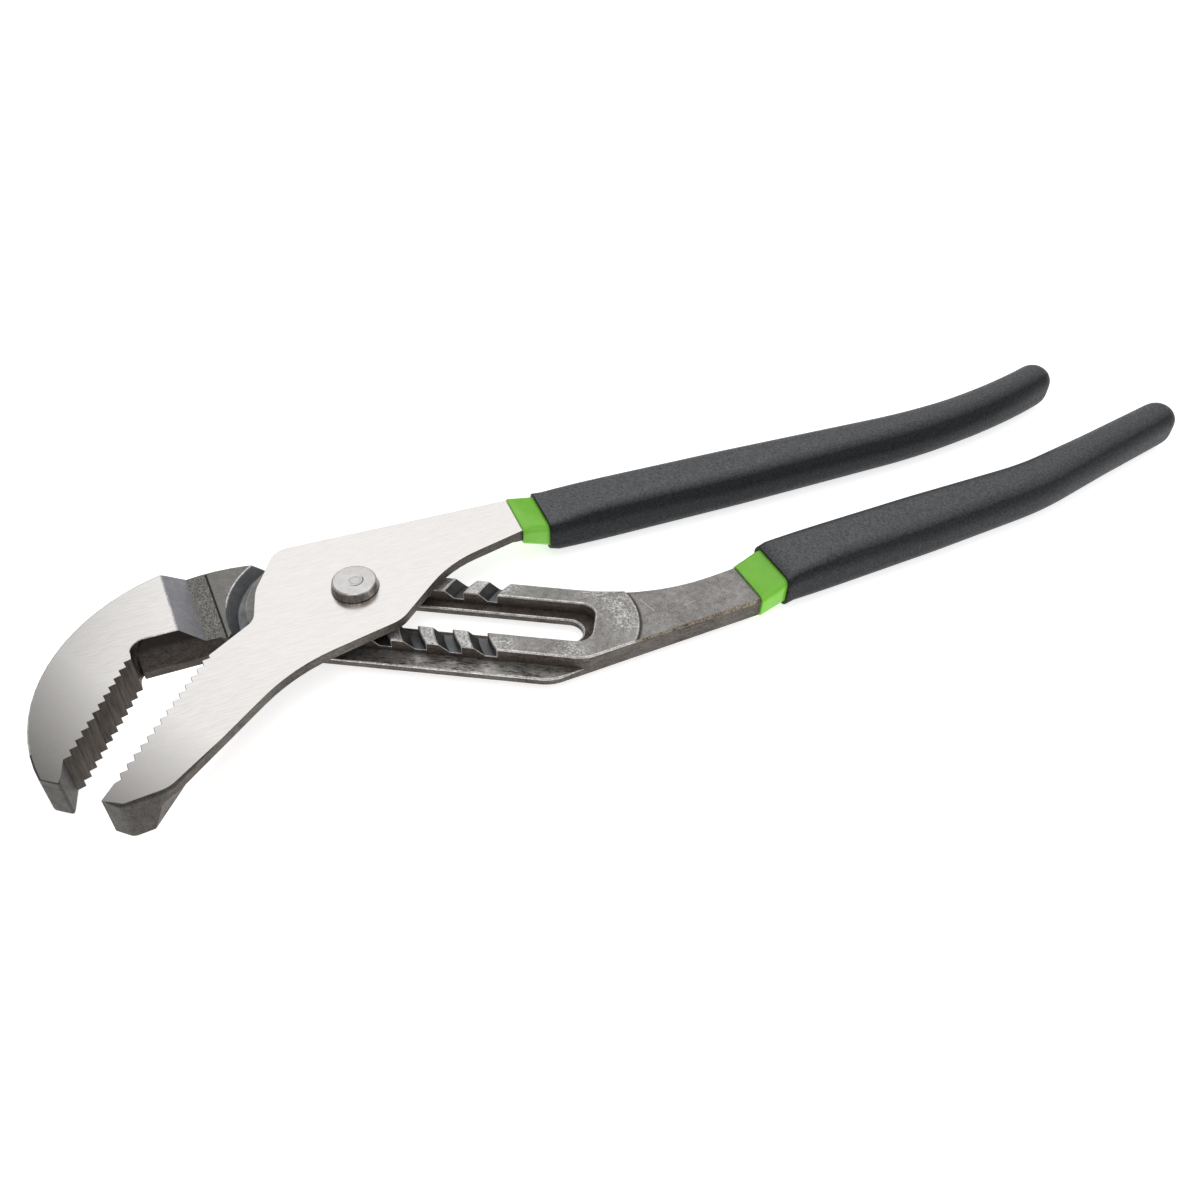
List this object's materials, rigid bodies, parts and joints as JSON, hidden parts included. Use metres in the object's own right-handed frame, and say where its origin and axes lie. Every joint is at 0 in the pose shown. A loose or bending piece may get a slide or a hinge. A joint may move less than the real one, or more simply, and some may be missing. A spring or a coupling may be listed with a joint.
{
  "type": "tongue and groove pliers",
  "caption": "Tongue and groove pliers: a straight jaw turns on a bolt that shifts along the grooved slot of a hooked jaw, with dipped two-colour handles.",
  "frame": {"origin": "under the middle of the whole object at rest, at the level of the bolt head's bottom", "axes": "+X along the slot from the jaws to the handles, +Z out of the jaws' ground fronts, up as it lies"},
  "size_m": [0.3692, 0.2594, 0.0195],
  "materials": {
    "forged_steel": "forged, with ground cheeks and a dark oil finish",
    "ground_steel": "ground satin front, darker forged edges",
    "pivot_steel": "turned and polished",
    "green_dip": "glossy dipped vinyl",
    "black_dip": "matte, finely textured dipped vinyl"
  },
  "bodies": {
    "hooked_jaw_half": {"grooved_half": "forged_steel", "grooved_half_sleeve": "green_dip", "grooved_half_grip": "black_dip"},
    "pivot": {"pivot_bolt": "pivot_steel", "pivot_nut": "pivot_steel"},
    "straight_jaw_half": {"tongue_half": "ground_steel", "tongue_half_sleeve": "green_dip", "tongue_half_grip": "black_dip"}
  },
  "joints": [
    {"name": "pivot_shift", "type": "slide", "parent": "hooked_jaw_half", "child": "pivot", "axis": [1, 0, 0], "range_m": [-0.0109, 0.0436]},
    {"name": "jaw_open", "type": "hinge", "parent": "pivot", "child": "straight_jaw_half", "pos_m": [-0.10641, -0.04194, 0.0093], "axis": [0, 0, 1], "range_deg": [0, 80]}
  ]
}
